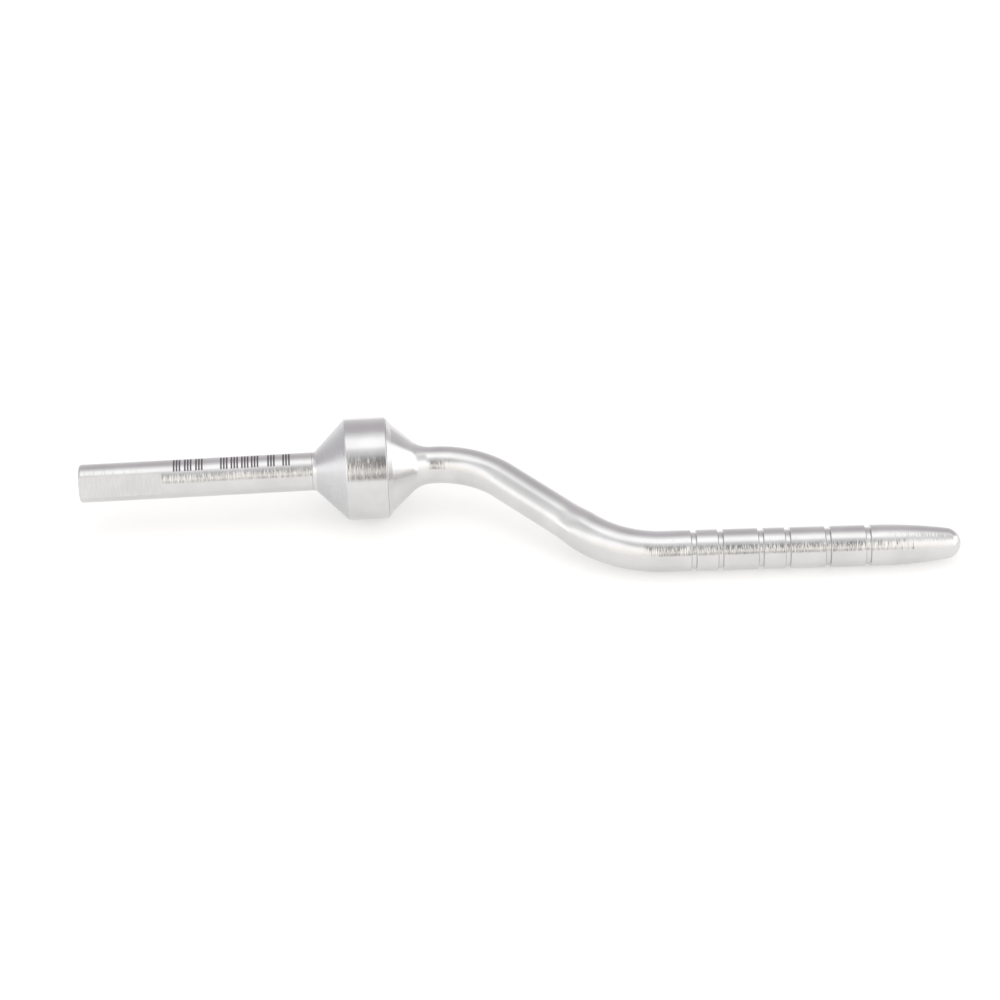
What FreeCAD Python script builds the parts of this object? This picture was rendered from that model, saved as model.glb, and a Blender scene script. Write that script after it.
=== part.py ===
import FreeCAD, Part
import math
import os

from FreeCAD import Rotation, Vector

# Offset bone-condenser insert for a separate handle. Lengths are in millimetres, angles in degrees.
#
# The shank's centre line is the X axis, the handle end points to -X and the origin is where the shank
# meets the collar. The insert lies as it rests on a table, on its collar and its working end, with +Z up.

# handle shank
shank_diameter = 2.95
shank_length = 17.85
shank_end_round = 0.22
flat_length = 6.35
flat_depth = 0.26
flat_turn = 28.8            # turn of the flat's face about X, away from the plane of the bends

# stop collar
collar_diameter = 7.8
rear_cone_angle = 45.0
cone_foot = 0.195           # from the origin to where the cone's line would meet the shank's surface
root_fillet = 0.45          # from the shank's surface into the cone
band_width = 3.1
band_edge_break = 0.09

# press joints inside the collar
joint_bore_diameter = 2.0
rear_spigot_length = 2.6
spigot_gap = 0.1            # air left between the two spigots' ends
spigot_chamfer = 0.12

# flare and neck
flare_step = 0.05           # the flare's rim is this much smaller in radius than the band
flare_chamfer_length = 0.4
flare_chamfer_angle = 51.0
flare_angle = 42.0
neck_diameter = 2.86
flare_fillet = 2.2
neck_straight = 0.23

# S-bend
offset = 10.5               # from the shank's line to the working end's line, at the end of the second bend
first_bend = 45.5
toe_out = 2.0               # the working end points this much away from the shank's direction
first_bend_radius = 7.35
second_bend_radius = 8.4
step_up_length = 2.0        # cone from the neck's diameter to the working end's

# working end
work_diameter = 3.1
work_length = 22.25
depth_marks = (7.0, 10.0, 13.0, 15.0, 18.0, 20.0)       # from the tip
mark_width = 0.44
mark_floor_width = 0.28
mark_depth = 0.17
taper_length = 6.4          # from the tip back to the full diameter
taper_drop = 0.39           # how much the radius has shrunk where the dome starts
tip_dome_radius = 1.17

# worked out from the sizes above
shank_radius = shank_diameter / 2
collar_radius = collar_diameter / 2
bore_radius = joint_bore_diameter / 2
neck_radius = neck_diameter / 2
work_radius = work_diameter / 2
rear_cone_length = cone_foot + (collar_radius - shank_radius) / math.tan(math.radians(rear_cone_angle))
collar_length = rear_cone_length + band_width
front_spigot_length = collar_length - rear_spigot_length - spigot_gap
second_bend = first_bend - toe_out


def cos(angle):
    return math.cos(math.radians(angle))


def sin(angle):
    return math.sin(math.radians(angle))


def tan(angle):
    return math.tan(math.radians(angle))


def line(start, end):
    return Part.makeLine(Vector(start[0], start[1], 0), Vector(end[0], end[1], 0))


def arc(start, middle, end):
    points = [Vector(x, y, 0) for x, y in (start, middle, end)]
    return Part.Arc(*points).toShape()


def on_circle(centre, radius, angle):
    return (centre[0] + radius * cos(angle), centre[1] + radius * sin(angle))


def turned(edges):
    """The solid turned about the X axis from an outline that starts and ends on it."""
    outline = list(edges)
    start = outline[0].Vertexes[0].Point
    end = outline[-1].Vertexes[-1].Point
    outline.append(Part.makeLine(end, start))
    face = Part.Face(Part.Wire(outline))
    return face.revolve(Vector(0, 0, 0), Vector(1, 0, 0), 360)


def straight_outline(points):
    return [line(start, end) for start, end in zip(points, points[1:])]


def lying_angle():
    """Turn about X that brings the working end down to the table the collar's band lies on."""
    to_taper = work_length - taper_length
    offset_there = offset + to_taper * sin(toe_out)
    return math.degrees(math.asin((collar_radius - work_radius) / offset_there))


def laid_down(shape):
    """From the bends' own plane, XY, to the way the insert rests."""
    shape.rotate(Vector(0, 0, 0), Vector(1, 0, 0), lying_angle())
    return shape


def handle_shank():
    round_centre = (-shank_length + shank_end_round, shank_radius - shank_end_round)
    round_start = on_circle(round_centre, shank_end_round, 180)
    round_middle = on_circle(round_centre, shank_end_round, 135)
    round_end = on_circle(round_centre, shank_end_round, 90)
    spigot_end = rear_spigot_length - spigot_chamfer
    edges = [
        line((-shank_length, 0), round_start),
        arc(round_start, round_middle, round_end),
    ]
    edges += straight_outline([
        round_end,
        (0, shank_radius),
        (0, bore_radius),
        (spigot_end, bore_radius),
        (rear_spigot_length, bore_radius - spigot_chamfer),
        (rear_spigot_length, 0),
    ])
    blank = turned(edges)
    # the flat faces -Y, the side that the bends go to, before it is turned into place
    waste = Part.makeBox(
        flat_length + 1,
        flat_depth + 1,
        shank_diameter + 2,
        Vector(-shank_length - 1, -shank_radius - 1, -shank_radius - 1),
    )
    waste.rotate(Vector(0, 0, 0), Vector(1, 0, 0), -flat_turn)
    return blank.cut(waste)


def stop_collar():
    band_start = rear_cone_length
    band_end = collar_length
    cone_slope = tan(rear_cone_angle)
    # the fillet's circle touches the shank's surface and the cone
    fillet_centre = (cone_foot - root_fillet * tan(rear_cone_angle / 2), shank_radius + root_fillet)
    fillet_start = on_circle(fillet_centre, root_fillet, 270)
    fillet_middle = on_circle(fillet_centre, root_fillet, 270 + rear_cone_angle / 2)
    fillet_end = on_circle(fillet_centre, root_fillet, 270 + rear_cone_angle)
    outline = straight_outline([(0, 0), (0, shank_radius), fillet_start])
    outline += [
        arc(fillet_start, fillet_middle, fillet_end),
        line(fillet_end, (band_start - band_edge_break, collar_radius - band_edge_break * cone_slope)),
    ]
    outline += straight_outline([
        (band_start - band_edge_break, collar_radius - band_edge_break * cone_slope),
        (band_start + band_edge_break, collar_radius),
        (band_end - band_edge_break, collar_radius),
        (band_end, collar_radius - band_edge_break),
        (band_end, 0),
    ])
    bore = Part.makeCylinder(bore_radius, collar_length + 2, Vector(-1, 0, 0), Vector(1, 0, 0))
    return turned(outline).cut(bore)


def flare_and_neck():
    """Spigot, flare and straight neck, turned about X; it ends at the first bend's start."""
    seat = collar_length
    rim_radius = collar_radius - flare_step
    cone_start = (
        seat + flare_chamfer_length,
        rim_radius - flare_chamfer_length * tan(flare_chamfer_angle),
    )
    # the fillet's circle touches the cone and the neck
    fillet_centre_y = neck_radius + flare_fillet
    fillet_start_y = fillet_centre_y - flare_fillet * cos(flare_angle)
    fillet_start_x = cone_start[0] + (cone_start[1] - fillet_start_y) / tan(flare_angle)
    fillet_centre = (fillet_start_x + flare_fillet * sin(flare_angle), fillet_centre_y)
    fillet_start = on_circle(fillet_centre, flare_fillet, 270 - flare_angle)
    fillet_middle = on_circle(fillet_centre, flare_fillet, 270 - flare_angle / 2)
    fillet_end = on_circle(fillet_centre, flare_fillet, 270)
    neck_end = (fillet_end[0] + neck_straight, neck_radius)
    spigot_tip = seat - front_spigot_length
    edges = straight_outline([
        (spigot_tip, 0),
        (spigot_tip, bore_radius - spigot_chamfer),
        (spigot_tip + spigot_chamfer, bore_radius),
        (seat, bore_radius),
        (seat, rim_radius),
        cone_start,
        fillet_start,
    ])
    edges.append(arc(fillet_start, fillet_middle, fillet_end))
    edges += straight_outline([fillet_end, neck_end, (neck_end[0], 0)])
    return turned(edges), neck_end[0]


def bend(start, heading, turn, bend_radius, bar_radius):
    """A round bar bent in the XY plane; a positive turn is to the left. Gives the solid and its end."""
    side = 1 if turn > 0 else -1
    forward = Vector(cos(heading), sin(heading), 0)
    to_centre = Vector(-sin(heading) * side, cos(heading) * side, 0)
    centre = start + to_centre * bend_radius
    section = Part.Face(Part.Wire(Part.makeCircle(bar_radius, start, forward)))
    bar = section.revolve(centre, Vector(0, 0, side), abs(turn))
    end = centre - Rotation(Vector(0, 0, 1), turn).multVec(to_centre) * bend_radius
    return bar, end


def depth_mark(distance, tip_x):
    """A ring of waste, wider at its mouth than at its floor, centred this far back from the tip."""
    middle = tip_x - distance
    floor_radius = work_radius - mark_depth
    flank = (mark_width - mark_floor_width) / 2 / mark_depth
    mouth_radius = work_radius + 0.2
    mouth = mark_width / 2 + flank * (mouth_radius - work_radius)
    ring = straight_outline([
        (middle - mark_floor_width / 2, floor_radius),
        (middle - mouth, mouth_radius),
        (middle + mouth, mouth_radius),
        (middle + mark_floor_width / 2, floor_radius),
        (middle - mark_floor_width / 2, floor_radius),
    ])
    return Part.Face(Part.Wire(ring)).revolve(Vector(0, 0, 0), Vector(1, 0, 0), 360)


def working_end():
    """Turned about X from x = 0 at the end of the second bend to the tip."""
    # the taper is one large arc, tangent to the bar and to the dome
    taper_start_x = work_length - taper_length
    dome_edge_angle = 2 * math.degrees(math.atan(taper_drop / (taper_length - tip_dome_radius)))
    dome_centre_x = work_length - tip_dome_radius
    dome_edge = on_circle((dome_centre_x, 0), tip_dome_radius, 90 - dome_edge_angle)
    run = dome_edge[0] - taper_start_x
    drop = work_radius - dome_edge[1]
    taper_radius = (run ** 2 + drop ** 2) / (2 * drop)
    taper_centre = (taper_start_x, work_radius - taper_radius)
    taper_middle = on_circle(taper_centre, taper_radius, 90 - math.degrees(math.asin(run / taper_radius)) / 2)
    dome_middle = on_circle((dome_centre_x, 0), tip_dome_radius, 45 - dome_edge_angle / 2)
    edges = straight_outline([(0, 0), (0, work_radius), (taper_start_x, work_radius)])
    edges.append(arc((taper_start_x, work_radius), taper_middle, dome_edge))
    edges.append(arc(dome_edge, dome_middle, (work_length, 0)))
    bar = turned(edges)
    for distance in depth_marks:
        bar = bar.cut(depth_mark(distance, work_length))
    return bar


def bent_shaft():
    rear, neck_end_x = flare_and_neck()
    first_arc, first_end = bend(
        Vector(neck_end_x, 0, 0), 0, -first_bend, first_bend_radius, neck_radius
    )

    # the straight run between the bends is as long as the offset asks for
    drop_in_bends = first_bend_radius * (1 - cos(first_bend))
    drop_in_bends += second_bend_radius * (cos(toe_out) - cos(first_bend))
    run_length = (offset - drop_in_bends) / sin(first_bend)
    run_direction = Vector(cos(first_bend), -sin(first_bend), 0)
    thin_length = run_length - step_up_length
    thin_run = Part.makeCylinder(neck_radius, thin_length, first_end, run_direction)
    step_start = first_end + run_direction * thin_length
    step_up = Part.makeCone(neck_radius, work_radius, step_up_length, step_start, run_direction)

    run_end = first_end + run_direction * run_length
    second_arc, second_end = bend(run_end, -first_bend, second_bend, second_bend_radius, work_radius)
    front = working_end()
    front.rotate(Vector(0, 0, 0), Vector(0, 0, 1), -toe_out)
    front.translate(second_end)
    return rear.fuse([first_arc, thin_run, step_up, second_arc, front]).removeSplitter()


def main():
    os.makedirs("parts", exist_ok=True)
    for make in (handle_shank, stop_collar, bent_shaft):
        solid = laid_down(make().Solids[0])
        solid.exportStep("parts/" + make.__name__ + ".step")


main()
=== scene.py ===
from math import asin, atan, atan2, cos, pi, radians, sin, tan

import bpy
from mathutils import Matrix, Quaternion, Vector


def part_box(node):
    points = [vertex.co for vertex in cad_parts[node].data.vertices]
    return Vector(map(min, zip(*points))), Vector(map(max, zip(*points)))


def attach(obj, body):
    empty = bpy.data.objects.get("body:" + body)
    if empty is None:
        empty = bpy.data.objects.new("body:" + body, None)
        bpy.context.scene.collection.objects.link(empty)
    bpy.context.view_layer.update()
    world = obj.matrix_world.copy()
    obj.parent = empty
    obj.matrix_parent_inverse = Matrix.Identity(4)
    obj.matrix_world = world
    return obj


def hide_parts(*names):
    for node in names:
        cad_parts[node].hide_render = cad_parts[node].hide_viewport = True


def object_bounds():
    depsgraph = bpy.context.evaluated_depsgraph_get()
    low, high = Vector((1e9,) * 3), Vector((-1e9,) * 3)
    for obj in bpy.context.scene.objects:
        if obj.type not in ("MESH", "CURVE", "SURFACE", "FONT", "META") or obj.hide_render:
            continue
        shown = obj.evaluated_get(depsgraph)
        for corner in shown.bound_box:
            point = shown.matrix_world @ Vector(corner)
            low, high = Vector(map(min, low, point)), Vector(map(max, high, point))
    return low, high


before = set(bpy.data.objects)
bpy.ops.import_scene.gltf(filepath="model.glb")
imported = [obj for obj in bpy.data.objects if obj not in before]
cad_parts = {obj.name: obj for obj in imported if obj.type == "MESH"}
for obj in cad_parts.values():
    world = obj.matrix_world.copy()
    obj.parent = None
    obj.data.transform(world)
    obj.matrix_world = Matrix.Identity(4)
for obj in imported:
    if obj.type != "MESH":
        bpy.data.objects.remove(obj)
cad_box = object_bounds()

# ---- Camera ----------------------------------------------------------------------------------------
# A long lens on a stand a quarter of a metre off. It looks down at the insert as it lies on the table,
# with the handle end to the left and the working end to the right.
mm = 0.001
table_height = cad_box[0].z
aim = Vector((14.3 * mm, 0, table_height + 0.35 * mm))
camera_distance = 248 * mm
camera_elevation = radians(33)
camera_swing = radians(2.2)
camera_roll = radians(-1.9)
look = Vector((
    sin(camera_swing) * cos(camera_elevation),
    cos(camera_swing) * cos(camera_elevation),
    -sin(camera_elevation),
))
camera_data = bpy.data.cameras.new("camera")
camera_data.lens = 115.2
camera_data.sensor_width = 36
camera_data.clip_start = 10 * mm
camera_data.clip_end = 10
camera = bpy.data.objects.new("camera", camera_data)
bpy.context.collection.objects.link(camera)
camera.location = aim - look * camera_distance
camera.rotation_mode = "QUATERNION"
camera.rotation_quaternion = look.to_track_quat("-Z", "Y") @ Quaternion((0, 0, 1), camera_roll)
bpy.context.scene.camera = camera
bpy.context.scene.view_settings.view_transform = "Standard"

# ---- Handle shank ----------------------------------------------------------------------------------
# A plain round shank of stainless steel, turned on a lathe with a fine feed. A flat for the handle's set
# screw is milled along its end, reference marks are lasered along its top, and its thinner spigot is
# pressed into the collar.
shank_end_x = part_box("handle_shank")[0].x
rear_spigot_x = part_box("handle_shank")[1].x
shank_radius = 1.475 * mm
shank_end_round = 0.22 * mm
bore_radius = 1.0 * mm
spigot_chamfer = 0.12 * mm
root_round = 0.05 * mm
flat_length = 6.35 * mm
flat_height = shank_radius - 0.26 * mm      # of the flat's face from the centre line
flat_tilt = radians(16.54)                  # of the direction it faces, above level
mark_starts = (-10.6 * mm, -9.75 * mm, -8.9 * mm, -7.0 * mm, -6.2 * mm, -5.4 * mm, -4.65 * mm,
               -3.4 * mm, -2.25 * mm)       # of each little block of lines
mark_lines = 3                              # in a block
mark_line_width = 0.13 * mm
mark_line_pitch = 0.22 * mm
mark_middle = radians(10)                   # from the shank's top, towards the front
mark_spread = radians(26)                   # round the shank, to each side of the marks' middle
sides = 160                                 # of every ring
end_round_rings = 8
root_round_rings = 4
shank_smooth_angle = radians(16)            # corners sharper than this stay crisp
seam_gap = 0.0002 * mm                      # points closer than this are one point
bar_end = {}                                # where the open end of the bar in hand is, and the way there


def start_bar(name, x, radius):
    """A ring of edges across the X axis, open for the next stretch of the bar."""
    bpy.ops.object.select_all(action="DESELECT")
    bpy.ops.mesh.primitive_circle_add(
        vertices=sides, radius=radius, fill_type="NOTHING", location=(x, 0, 0), rotation=(0, pi / 2, 0)
    )
    bar = bpy.context.object
    bar.name = name
    bar.data.name = name
    bpy.ops.object.transform_apply(location=True, rotation=True, scale=True)
    bpy.ops.object.mode_set(mode="EDIT")
    bpy.ops.mesh.select_mode(type="EDGE")
    bpy.ops.mesh.select_all(action="SELECT")
    bar_end.update(place=Vector((x, 0, 0)), radius=radius, heading=0.0)
    bar_end.update(turned=[Vector((x, radius, 0))], headings=[0.0])
    return bar


def carry_on(distance, radius):
    """Extrudes the open ring along the bar, or only in or out where the distance is nothing."""
    heading = bar_end["heading"]
    forward = Vector((cos(heading), sin(heading), 0)) * distance
    bpy.ops.mesh.extrude_region_move(TRANSFORM_OT_translate={"value": forward})
    bar_end["place"] = bar_end["place"] + forward
    growth = radius / bar_end["radius"]
    bpy.ops.transform.resize(value=(growth, growth, growth), center_override=bar_end["place"])
    bar_end["radius"] = radius
    bar_end["turned"].append(Vector((bar_end["turned"][-1].x + distance, radius, 0)))
    bar_end["headings"].append(heading)


def carry_to(x, radius):
    """Extrudes the open ring to a place along the bar, measured as it is turned, before any bend."""
    carry_on(x - bar_end["turned"][-1].x, radius)


def carry_round(centre_x, centre_radius, rounding, start, end, steps):
    """Rings along a round stretch of the outline, from one angle to another about its centre."""
    for step in range(1, steps + 1):
        angle = start + (end - start) * step / steps
        carry_to(centre_x + rounding * cos(angle), centre_radius + rounding * sin(angle))


def finish_bar(bar, smooth_angle):
    """Closes the seams, turns the faces outwards and smooths all but the corners."""
    bpy.ops.mesh.select_all(action="SELECT")
    bpy.ops.mesh.remove_doubles(threshold=seam_gap)
    bpy.ops.mesh.normals_make_consistent(inside=False)
    bpy.ops.object.mode_set(mode="OBJECT")
    bpy.ops.object.shade_smooth_by_angle(angle=smooth_angle)


shank = start_bar("turned_shank", shank_end_x, shank_radius - shank_end_round)
bpy.ops.mesh.edge_face_add()
carry_round(
    shank_end_x + shank_end_round, shank_radius - shank_end_round, shank_end_round,
    pi, pi / 2, end_round_rings
)
laser_lines = [start + number * mark_line_pitch for start in mark_starts for number in range(mark_lines)]
for line_x in laser_lines:
    carry_to(line_x, shank_radius)
    carry_to(line_x + mark_line_width, shank_radius)
carry_round(-root_round, shank_radius - root_round, root_round, pi / 2, 0, root_round_rings)
carry_to(0, bore_radius)
carry_to(rear_spigot_x - spigot_chamfer, bore_radius)
carry_to(rear_spigot_x, bore_radius - spigot_chamfer)
bpy.ops.mesh.edge_face_add()
finish_bar(shank, shank_smooth_angle)

# the milled flat: a block twice as long as the flat, half of it past the shank's end, is cut away
bpy.ops.object.select_all(action="DESELECT")
bpy.ops.mesh.primitive_cube_add(size=1, location=(0, 0, 0))
mill_cut = bpy.context.object
mill_cut.scale = (2 * flat_length, 4 * shank_radius, 4 * shank_radius)
mill_cut.location = (shank_end_x, 0, 0)
mill_cut.rotation_euler.x = -flat_tilt
outward = Vector((0, -cos(flat_tilt), sin(flat_tilt)))
mill_cut.location += outward * (flat_height + 2 * shank_radius)
bpy.ops.object.transform_apply(location=True, rotation=True, scale=True)
bpy.ops.object.select_all(action="DESELECT")
shank.select_set(True)
bpy.context.view_layer.objects.active = shank
bpy.ops.object.modifier_add(type="BOOLEAN")
shank.modifiers[-1].object = mill_cut
shank.modifiers[-1].operation = "DIFFERENCE"
bpy.ops.object.modifier_apply(modifier=shank.modifiers[-1].name)
bpy.data.objects.remove(mill_cut)
bpy.ops.object.shade_smooth_by_angle(angle=shank_smooth_angle)


node_column = 200
node_row = 150


def add(tree, kind, x, y, **settings):
    """A shader node at a column and row of its tree, with its settings."""
    made = tree.nodes.new(kind)
    made.location = (x * node_column, y * node_row)
    for name, value in settings.items():
        setattr(made, name, value)
    return made


def between(tree, value, low, high, to_low, to_high, x, y):
    """A value mapped smoothly from one range to another and held at its ends."""
    step = add(tree, "ShaderNodeMapRange", x, y, interpolation_type="SMOOTHSTEP")
    tree.links.new(value, step.inputs["Value"])
    step.inputs["From Min"].default_value = low
    step.inputs["From Max"].default_value = high
    step.inputs["To Min"].default_value = to_low
    step.inputs["To Max"].default_value = to_high
    return step.outputs["Result"]


patch_size = 2.5 * mm                       # of the faint unevenness in the steel
darker = 0.95                               # share of the steel's tone where a patch is darkest
lighter = 1.04
shinier = 0.9                               # share of the steel's roughness where a patch is smoothest
duller = 1.05
streak_dullness = 0.12                      # share of the roughness that a streak adds


def steel(
    name, colour, roughness, streak_width, streak_length, streak_tilt,
    where=None, along=None, satin=None
):
    """Turned stainless steel: fine streaks run round the bar, over a faint unevenness of tone and shine.

    Each streak's surface leans along the bar, by up to about the tilt, as the side of a fine groove does.
    On a bent bar, attributes tell where each point was on the straight bar, which way the bar runs there,
    and how much of the lean it has.
    """
    material = bpy.data.materials.new(name)
    material.use_nodes = True
    tree = material.node_tree
    tree.nodes.clear()
    output = add(tree, "ShaderNodeOutputMaterial", 6, 0)
    metal = add(tree, "ShaderNodeBsdfPrincipled", 4, 0)
    tree.links.new(metal.outputs["BSDF"], output.inputs["Surface"])
    metal.inputs["Metallic"].default_value = 1.0
    if where:
        place = add(tree, "ShaderNodeAttribute", -6, 0, attribute_name=where).outputs["Vector"]
    else:
        place = add(tree, "ShaderNodeTexCoord", -6, 0).outputs["Object"]

    streak_map = add(tree, "ShaderNodeMapping", -4, -1)
    streak_map.inputs["Scale"].default_value = (1 / streak_width, 1 / streak_length, 1 / streak_length)
    tree.links.new(place, streak_map.inputs["Vector"])
    streaks = add(tree, "ShaderNodeTexNoise", -3, -1)
    streaks.inputs["Scale"].default_value = 1.0
    streaks.inputs["Detail"].default_value = 2.0
    streaks.inputs["Roughness"].default_value = 0.6
    tree.links.new(streak_map.outputs["Vector"], streaks.inputs["Vector"])
    lean = add(tree, "ShaderNodeMapRange", -2, -2)
    tree.links.new(streaks.outputs["Fac"], lean.inputs["Value"])
    lean.inputs["From Min"].default_value = 0.2
    lean.inputs["From Max"].default_value = 0.8
    lean.inputs["To Min"].default_value = -streak_tilt
    lean.inputs["To Max"].default_value = streak_tilt
    facing = add(tree, "ShaderNodeNewGeometry", -2, -3).outputs["Normal"]
    leaning = add(tree, "ShaderNodeVectorMath", 0, -2, operation="SCALE")
    leaning.inputs[0].default_value = (1, 0, 0)
    if along:
        bar_line = add(tree, "ShaderNodeAttribute", -2, -4, attribute_name=along).outputs["Vector"]
        tree.links.new(bar_line, leaning.inputs[0])
    tree.links.new(lean.outputs["Result"], leaning.inputs["Scale"])
    if satin:
        share = add(tree, "ShaderNodeAttribute", -1, -4, attribute_name=satin).outputs["Fac"]
        brushing = add(tree, "ShaderNodeMath", 0, -3, operation="MULTIPLY")
        tree.links.new(lean.outputs["Result"], brushing.inputs[0])
        tree.links.new(share, brushing.inputs[1])
        tree.links.new(brushing.outputs["Value"], leaning.inputs["Scale"])
    leant = add(tree, "ShaderNodeVectorMath", 1, -2, operation="ADD")
    tree.links.new(facing, leant.inputs[0])
    tree.links.new(leaning.outputs["Vector"], leant.inputs[1])
    brushed = add(tree, "ShaderNodeVectorMath", 2, -2, operation="NORMALIZE")
    tree.links.new(leant.outputs["Vector"], brushed.inputs[0])
    tree.links.new(brushed.outputs["Vector"], metal.inputs["Normal"])

    patches = add(tree, "ShaderNodeTexNoise", -3, 1)
    patches.inputs["Scale"].default_value = 1 / patch_size
    patches.inputs["Detail"].default_value = 4.0
    tree.links.new(place, patches.inputs["Vector"])
    tone = add(tree, "ShaderNodeMix", 2, 2, data_type="RGBA")
    tone.inputs["A"].default_value = [part * darker for part in colour] + [1]
    tone.inputs["B"].default_value = [min(1, part * lighter) for part in colour] + [1]
    patchy_tone = between(tree, patches.outputs["Fac"], 0.3, 0.7, 0, 1, 0, 2)
    tree.links.new(patchy_tone, tone.inputs["Factor"])
    tree.links.new(tone.outputs["Result"], metal.inputs["Base Color"])
    shine = add(tree, "ShaderNodeMath", 1, 0, operation="ADD")
    smoothest = shinier * roughness
    roughest = duller * roughness
    patchy_shine = between(tree, patches.outputs["Fac"], 0.3, 0.7, smoothest, roughest, 0, 1)
    streaky_shine = between(tree, streaks.outputs["Fac"], 0.35, 0.65, 0, streak_dullness * roughness, 0, 0)
    tree.links.new(patchy_shine, shine.inputs[0])
    tree.links.new(streaky_shine, shine.inputs[1])
    tree.links.new(shine.outputs["Value"], metal.inputs["Roughness"])
    return material


def paint_faces(piece, material, wanted):
    """Gives the faces that a test on their middle picks a material of their own."""
    piece.data.materials.append(material)
    bpy.ops.object.mode_set(mode="EDIT")
    bpy.ops.mesh.select_mode(type="FACE")
    bpy.ops.mesh.select_all(action="DESELECT")
    bpy.ops.object.mode_set(mode="OBJECT")
    for face in piece.data.polygons:
        face.select = wanted(face.center)
    bpy.ops.object.mode_set(mode="EDIT")
    piece.active_material_index = len(piece.data.materials) - 1
    bpy.ops.object.material_slot_assign()
    bpy.ops.object.mode_set(mode="OBJECT")


def in_a_laser_line(middle):
    """Whether a face's middle lies in one of the lasered lines."""
    round_shank = atan2(-middle.y, middle.z) - mark_middle
    if abs(round_shank) > mark_spread:
        return False
    return any(line_x < middle.x < line_x + mark_line_width for line_x in laser_lines)


steel_tone = (0.655, 0.65, 0.65)
laser_tone = (0.15, 0.135, 0.15)
turned_steel = steel(
    "turned_steel", steel_tone, roughness=0.2,
    streak_width=0.08 * mm, streak_length=1.2 * mm, streak_tilt=radians(12)
)
shank.data.materials.append(turned_steel)
laser_black = steel(
    "laser_black", laser_tone, roughness=0.5,
    streak_width=0.08 * mm, streak_length=1.2 * mm, streak_tilt=radians(7)
)
paint_faces(shank, laser_black, in_a_laser_line)
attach(shank, "root")
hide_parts("handle_shank")

# ---- Stop collar -----------------------------------------------------------------------------------
# The stop that keeps the handle and the working end apart: a wide band brushed round its rim, with a
# matt cone that runs down to the shank. It is turned in stainless steel and bored through for the
# spigots of the two bars that are pressed into it.
collar_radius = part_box("stop_collar")[1].z
collar_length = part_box("stop_collar")[1].x
rear_cone_angle = radians(45)
cone_foot = 0.195 * mm                      # where the cone's line would meet the shank's surface
root_fillet = 0.45 * mm
cone_edge_round = 0.2 * mm
band_edge_round = 0.07 * mm
root_fillet_rings = 12
cone_edge_rings = 8
band_edge_rings = 12
collar_smooth_angle = radians(8)
band_start = cone_foot + (collar_radius - shank_radius) / tan(rear_cone_angle)

collar = start_bar("banded_collar", 0, bore_radius)
carry_to(0, shank_radius)
carry_round(
    cone_foot - root_fillet * tan(rear_cone_angle / 2), shank_radius + root_fillet, root_fillet,
    1.5 * pi, 1.5 * pi + rear_cone_angle, root_fillet_rings
)
carry_round(
    band_start + cone_edge_round * tan(rear_cone_angle / 2), collar_radius - cone_edge_round,
    cone_edge_round, pi / 2 + rear_cone_angle, pi / 2, cone_edge_rings
)
carry_round(
    collar_length - band_edge_round, collar_radius - band_edge_round, band_edge_round,
    pi / 2, 0, band_edge_rings
)
carry_to(collar_length, bore_radius)
carry_to(0, bore_radius)
finish_bar(collar, collar_smooth_angle)

band_steel = steel(
    "brushed_band", steel_tone, roughness=0.15,
    streak_width=0.06 * mm, streak_length=0.8 * mm, streak_tilt=radians(4)
)
collar.data.materials.append(band_steel)
cone_tone = (0.6, 0.6, 0.61)
cone_steel = steel(
    "matt_cone", cone_tone, roughness=0.27,
    streak_width=0.12 * mm, streak_length=1.5 * mm, streak_tilt=radians(0.2)
)
paint_faces(collar, cone_steel, lambda middle: root_fillet < middle.x < band_start)
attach(collar, "root")
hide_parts("stop_collar")

# ---- Bent shaft ------------------------------------------------------------------------------------
# One stainless bar, turned straight and then bent twice. From the rear: a spigot pressed into the
# collar, a polished flare, a thin neck through both bends, and a thicker working end with six depth
# marks cut round it and a slim, rounded nose.
front_spigot_x = 2.7 * mm
flare_step = 0.05 * mm                      # of the flare's rim below the band
flare_rim_radius = collar_radius - flare_step
flare_chamfer_length = 0.4 * mm
flare_chamfer_angle = radians(51)
flare_angle = radians(42)
neck_radius = 1.43 * mm
flare_fillet = 2.2 * mm
neck_straight = 0.23 * mm
offset = 10.5 * mm
first_bend = radians(45.5)
toe_out = radians(2)
first_bend_radius = 7.35 * mm
second_bend_radius = 8.4 * mm
step_up_length = 2.0 * mm
work_radius = 1.55 * mm
work_length = 22.25 * mm
depth_marks = (20 * mm, 18 * mm, 15 * mm, 13 * mm, 10 * mm, 7 * mm)      # back from the tip
depth_mark_width = 0.44 * mm
depth_mark_floor = 0.28 * mm
depth_mark_depth = 0.17 * mm
lip_round = 0.03 * mm
rim_round = 0.04 * mm
taper_length = 6.4 * mm
taper_drop = 0.39 * mm
dome_radius = 1.17 * mm
rim_rings = 18
flare_fillet_rings = 20
bend_steps = 48
step_up_rings = 20
lip_rings = 9
nose_rings = 14                             # on the taper, and as many on the dome
shaft_smooth_angle = radians(8)


def bend_bar(turn, bend_radius):
    """Carries the open ring round a bend; a positive turn is to the left."""
    start_heading = bar_end["heading"]
    to_left = Vector((-sin(start_heading), cos(start_heading), 0))
    side = 1 if turn > 0 else -1
    centre = bar_end["place"] + to_left * side * bend_radius
    bpy.ops.mesh.spin(steps=bend_steps, angle=-turn, center=centre, axis=(0, 0, 1))
    bar_end["heading"] += turn
    to_left = Vector((-sin(bar_end["heading"]), cos(bar_end["heading"]), 0))
    bar_end["place"] = centre - to_left * side * bend_radius
    step = Vector((abs(turn) * bend_radius / bend_steps, 0, 0))
    for number in range(1, bend_steps + 1):
        bar_end["turned"].append(bar_end["turned"][-1] + step)
        bar_end["headings"].append(start_heading + turn * number / bend_steps)


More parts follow.
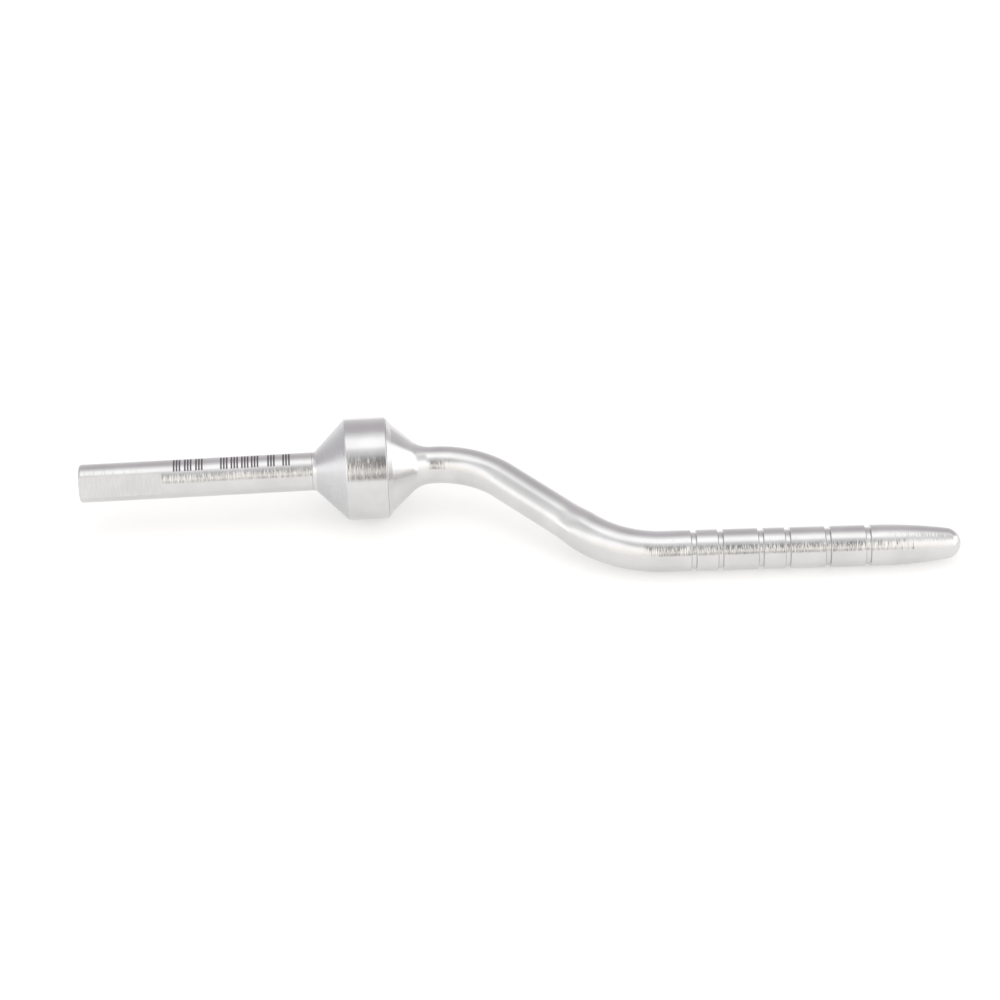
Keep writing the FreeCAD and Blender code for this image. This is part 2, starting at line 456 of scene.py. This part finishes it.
shaft = start_bar("bent_work_shaft", front_spigot_x, bore_radius - spigot_chamfer)
bpy.ops.mesh.edge_face_add()
carry_to(front_spigot_x + spigot_chamfer, bore_radius)
carry_to(collar_length, bore_radius)

# the flare: a rounded rim, a short steep chamfer, a cone, and a fillet that runs out into the neck
rim_centre_radius = flare_rim_radius - rim_round * tan(pi / 4 + flare_chamfer_angle / 2)
carry_to(collar_length, rim_centre_radius)
carry_round(
    collar_length + rim_round, rim_centre_radius, rim_round,
    pi, pi / 2 - flare_chamfer_angle, rim_rings
)
flare_x = collar_length + flare_chamfer_length
flare_radius = flare_rim_radius - flare_chamfer_length * tan(flare_chamfer_angle)
carry_to(flare_x, flare_radius)
fillet_centre_radius = neck_radius + flare_fillet
fillet_drop = flare_radius - fillet_centre_radius + flare_fillet * cos(flare_angle)
fillet_x = flare_x + fillet_drop / tan(flare_angle) + flare_fillet * sin(flare_angle)
carry_round(
    fillet_x, fillet_centre_radius, flare_fillet,
    1.5 * pi - flare_angle, 1.5 * pi, flare_fillet_rings
)
carry_on(neck_straight, neck_radius)

# both bends and the straight run between them, which is as long as the offset asks for and ends in an
# eased step up to the working end's thickness
bend_bar(-first_bend, first_bend_radius)
drop_in_bends = first_bend_radius * (1 - cos(first_bend))
drop_in_bends += second_bend_radius * (cos(toe_out) - cos(first_bend))
run_length = (offset - drop_in_bends) / sin(first_bend)
carry_on(run_length - step_up_length, neck_radius)
for step in range(1, step_up_rings + 1):
    rise = (1 - cos(pi * step / step_up_rings)) / 2
    carry_on(step_up_length / step_up_rings, neck_radius + (work_radius - neck_radius) * rise)
bend_bar(first_bend - toe_out, second_bend_radius)

# the working end, with its depth marks
work_x = bar_end["turned"][-1].x
tip_x = work_x + work_length
wall_slant = atan((depth_mark_width - depth_mark_floor) / 2 / depth_mark_depth)
lip_set_back = lip_round * tan((pi / 2 - wall_slant) / 2)
lip_radius = work_radius - lip_round
floor_radius = work_radius - depth_mark_depth
for distance in depth_marks:
    mark_x = tip_x - distance
    rear_lip_x = mark_x - depth_mark_width / 2 - lip_set_back
    front_lip_x = mark_x + depth_mark_width / 2 + lip_set_back
    carry_round(rear_lip_x, lip_radius, lip_round, pi / 2, wall_slant, lip_rings)
    carry_to(mark_x - depth_mark_floor / 2, floor_radius)
    carry_to(mark_x + depth_mark_floor / 2, floor_radius)
    carry_round(front_lip_x, lip_radius, lip_round, pi - wall_slant, pi / 2, lip_rings)

# the taper is one long arc that touches the bar and the dome
dome_edge_angle = 2 * atan(taper_drop / (taper_length - dome_radius))
taper_run = taper_length - dome_radius + dome_radius * sin(dome_edge_angle)
taper_fall = work_radius - dome_radius * cos(dome_edge_angle)
taper_arc = (taper_run ** 2 + taper_fall ** 2) / (2 * taper_fall)
taper_end = pi / 2 - asin(taper_run / taper_arc)
carry_round(tip_x - taper_length, work_radius - taper_arc, taper_arc, pi / 2, taper_end, nose_rings)
carry_round(tip_x - dome_radius, 0, dome_radius, pi / 2 - dome_edge_angle, 0, nose_rings)

# where each point was while the bar was still straight, so that the grain follows the bends
bpy.ops.object.mode_set(mode="OBJECT")
first_ring = [point.co.copy() for point in shaft.data.vertices[:sides]]
first_radius = bore_radius - spigot_chamfer
as_turned = shaft.data.attributes.new("as_turned", "FLOAT_VECTOR", "POINT")
for number, place in enumerate(as_turned.data):
    ring = bar_end["turned"][number // sides]
    side = first_ring[number % sides] * (ring.y / first_radius)
    place.vector = (ring.x, side.y, side.z)
bpy.ops.object.mode_set(mode="EDIT")
finish_bar(shaft, shaft_smooth_angle)

# it is laid with the working end down on the table that the collar's band rests on
offset_at_taper = offset + (work_length - taper_length) * sin(toe_out)
lying = asin((collar_radius - work_radius) / offset_at_taper)
shaft.rotation_euler.x = lying
bpy.ops.object.transform_apply(location=True, rotation=True, scale=True)


def rising(value, low, high):
    """How far a value is on its way from low to high, eased at both ends."""
    share = min(1, max(0, (value - low) / (high - low)))
    return share * share * (3 - 2 * share)


# the flare and the bends are polished; the rear of the neck and the working end are satin
neck_satin_in = (8.6 * mm, 9.2 * mm)        # stretches of the straight bar over which the satin comes
neck_satin_out = (10.3 * mm, 11.2 * mm)     # and goes
work_satin_in = (work_x - 2 * mm, work_x - 0.6 * mm)
satin = shaft.data.attributes.new("satin", "FLOAT", "POINT")
bar_line = shaft.data.attributes.new("bar_line", "FLOAT_VECTOR", "POINT")
for number, point in enumerate(satin.data):
    x = bar_end["turned"][number // sides].x
    neck_satin = rising(x, *neck_satin_in) - rising(x, *neck_satin_out)
    point.value = neck_satin + rising(x, *work_satin_in)
for number, point in enumerate(bar_line.data):
    heading = bar_end["headings"][number // sides]
    point.vector = (cos(heading), sin(heading) * cos(lying), sin(heading) * sin(lying))

shaft_steel = steel(
    "satin_shaft", steel_tone, roughness=0.17,
    streak_width=0.08 * mm, streak_length=0.9 * mm, streak_tilt=radians(9),
    where="as_turned", along="bar_line", satin="satin"
)
shaft.data.materials.append(shaft_steel)
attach(shaft, "root")
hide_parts("bent_shaft")

# ---- Table -----------------------------------------------------------------------------------------
# A plain white acrylic table top. It glows softly, as a top lit from below as well does, so that the
# shadows on it stay pale.
table_radius = 450 * mm
table_sides = 96
table_middle = (14 * mm, 0, table_height)
table_tone = (0.62, 0.62, 0.62, 1)
glow_tone = (1, 0.995, 0.98, 1)
glow_strength = 0.43
bpy.ops.object.select_all(action="DESELECT")
bpy.ops.mesh.primitive_circle_add(
    vertices=table_sides, radius=table_radius, fill_type="NGON", location=table_middle
)
table = bpy.context.object
table.name = "table"
bpy.ops.object.transform_apply(location=True, rotation=True, scale=True)
acrylic = bpy.data.materials.new("white_acrylic")
acrylic.use_nodes = True
white = acrylic.node_tree.nodes["Principled BSDF"]
white.inputs["Base Color"].default_value = table_tone
white.inputs["Roughness"].default_value = 0.8
white.inputs["Emission Color"].default_value = glow_tone
white.inputs["Emission Strength"].default_value = glow_strength
table.data.materials.append(acrylic)

# ---- Studio ----------------------------------------------------------------------------------------
# A white tent round the table: a soft box overhead, grey cloth behind, bright cloth at the two ends, and
# in front a paler opening between two dark gaps, which the steel mirrors.
def tent_ramp(stops, angle, x, y):
    """The tent's brightness by an angle in degrees, smooth from one stop to the next."""
    low, high = stops[0][0], stops[-1][0]
    share = add(sky, "ShaderNodeMapRange", x, y)
    sky.links.new(angle, share.inputs["Value"])
    share.inputs["From Min"].default_value = radians(low)
    share.inputs["From Max"].default_value = radians(high)
    ramp = add(sky, "ShaderNodeValToRGB", x + 1, y)
    sky.links.new(share.outputs["Result"], ramp.inputs["Fac"])
    marks = ramp.color_ramp.elements
    while len(marks) < len(stops):
        marks.new(0.5)
    for mark, (stop, bright, tint) in zip(marks, stops):
        mark.position = (stop - low) / (high - low)
        mark.color = [bright / tent_strength * part for part in tint] + [1]
    return ramp.outputs["Color"]


plain = (1, 1, 1)
warm = (1, 0.975, 0.93)
cool = (1, 0.965, 1)
tent_strength = 2.0
# degrees about the X axis: level in front is 0, overhead 90, level behind 180
over_the_middle = (
    (-90, 1.2, plain), (1, 1.2, plain), (5, 0.8, warm), (9, 0.27, warm), (15, 0.3, warm),
    (22, 0.8, warm), (29, 0.68, warm), (37, 0.18, warm), (48, 0.12, warm), (55, 0.32, plain),
    (62, 0.68, plain), (70, 0.85, plain), (77, 1.1, plain), (82, 1.5, plain), (99, 1.52, plain),
    (107, 1.25, plain), (116, 0.97, plain), (124, 0.74, cool), (140, 0.66, cool), (155, 0.74, cool),
    (180, 0.88, plain), (190, 1.2, plain), (270, 1.2, plain),
)
over_the_front = (
    (-90, 1.2, plain), (2, 1.2, plain), (10, 1.15, warm), (22, 1.45, warm), (42, 1.55, warm),
    (50, 1.2, plain), (58, 0.85, plain), (68, 0.9, plain), (76, 1.15, plain), (82, 1.5, plain),
    (99, 1.52, plain), (107, 1.25, plain), (116, 0.97, plain), (124, 0.74, cool), (140, 0.66, cool),
    (155, 0.72, cool), (180, 0.88, plain), (190, 1.2, plain), (270, 1.2, plain),
)
over_the_sides = (
    (-90, 1.2, plain), (0, 1.22, plain), (12, 1.3, warm), (25, 1.45, warm), (40, 1.55, plain),
    (58, 1.5, plain), (66, 1.1, plain), (76, 1.0, plain), (86, 0.88, plain), (96, 0.98, plain),
    (107, 1.12, plain), (116, 0.98, plain), (124, 0.76, cool), (140, 0.68, cool), (155, 0.72, cool),
    (180, 0.88, plain), (190, 1.2, plain), (270, 1.2, plain),
)
world = bpy.data.worlds.new("studio")
bpy.context.scene.world = world
world.use_nodes = True
sky = world.node_tree
sky.nodes.clear()
direction = add(sky, "ShaderNodeTexCoord", -8, 0).outputs["Generated"]
parts = add(sky, "ShaderNodeSeparateXYZ", -7, 0)
sky.links.new(direction, parts.inputs["Vector"])
toward_front = add(sky, "ShaderNodeMath", -6, 0, operation="MULTIPLY")
toward_front.inputs[1].default_value = -1
sky.links.new(parts.outputs["Y"], toward_front.inputs[0])
about_x = add(sky, "ShaderNodeMath", -5, 0, operation="ARCTAN2")
sky.links.new(parts.outputs["Z"], about_x.inputs[0])
sky.links.new(toward_front.outputs["Value"], about_x.inputs[1])
# the angle is counted from straight down, up the front, over the top and down behind
whole_turn = add(sky, "ShaderNodeMath", -4, 0, operation="WRAP")
sky.links.new(about_x.outputs["Value"], whole_turn.inputs[0])
whole_turn.inputs[1].default_value = 1.5 * pi
whole_turn.inputs[2].default_value = -0.5 * pi
around = whole_turn.outputs["Value"]
to_a_side = add(sky, "ShaderNodeMath", -4, -3, operation="ABSOLUTE")
sky.links.new(parts.outputs["X"], to_a_side.inputs[0])
# from the middle out to each side the tent changes cloth twice, by how far a direction leans to the side
gap_end = (0.04, 0.12)
front_end = (0.22, 0.38)
near_tent = add(sky, "ShaderNodeMix", 1, 0, data_type="RGBA")
past_gap = between(sky, to_a_side.outputs["Value"], *gap_end, 0, 1, -1, -3)
sky.links.new(past_gap, near_tent.inputs["Factor"])
sky.links.new(tent_ramp(over_the_middle, around, -2, 0), near_tent.inputs["A"])
sky.links.new(tent_ramp(over_the_front, around, -2, -1), near_tent.inputs["B"])
tent = add(sky, "ShaderNodeMix", 2, 0, data_type="RGBA")
past_front = between(sky, to_a_side.outputs["Value"], *front_end, 0, 1, -1, -4)
sky.links.new(past_front, tent.inputs["Factor"])
sky.links.new(near_tent.outputs["Result"], tent.inputs["A"])
sky.links.new(tent_ramp(over_the_sides, around, -2, -2), tent.inputs["B"])
# bright cloth at the right end, and a patch of it at the left end
right_edge = (0.8, 0.86)
left_edge = (-0.985, -0.96)
end_brightness = 1.65
ends = add(sky, "ShaderNodeMath", 0, -4, operation="MAXIMUM")
right_end = between(sky, parts.outputs["X"], *right_edge, 0, 1, -2, -4)
left_end = between(sky, parts.outputs["X"], *left_edge, 1, 0, -2, -5)
sky.links.new(right_end, ends.inputs[0])
sky.links.new(left_end, ends.inputs[1])
ended_tent = add(sky, "ShaderNodeMix", 3, 0, data_type="RGBA")
sky.links.new(ends.outputs["Value"], ended_tent.inputs["Factor"])
sky.links.new(tent.outputs["Result"], ended_tent.inputs["A"])
ended_tent.inputs["B"].default_value = [end_brightness / tent_strength] * 3 + [1]
tent_light = add(sky, "ShaderNodeBackground", 4, 0)
tent_light.inputs["Strength"].default_value = tent_strength
sky.links.new(ended_tent.outputs["Result"], tent_light.inputs["Color"])
# the camera itself sees plain white past the table
plain_white = add(sky, "ShaderNodeBackground", 4, -1)
plain_white.inputs["Color"].default_value = (1, 1, 1, 1)
seen = add(sky, "ShaderNodeLightPath", 4, 2)
backdrop = add(sky, "ShaderNodeMixShader", 5, 0)
sky.links.new(seen.outputs["Is Camera Ray"], backdrop.inputs["Fac"])
sky.links.new(tent_light.outputs["Background"], backdrop.inputs[1])
sky.links.new(plain_white.outputs["Background"], backdrop.inputs[2])
sky_output = add(sky, "ShaderNodeOutputWorld", 6, 0)
sky.links.new(backdrop.outputs["Shader"], sky_output.inputs["Surface"])
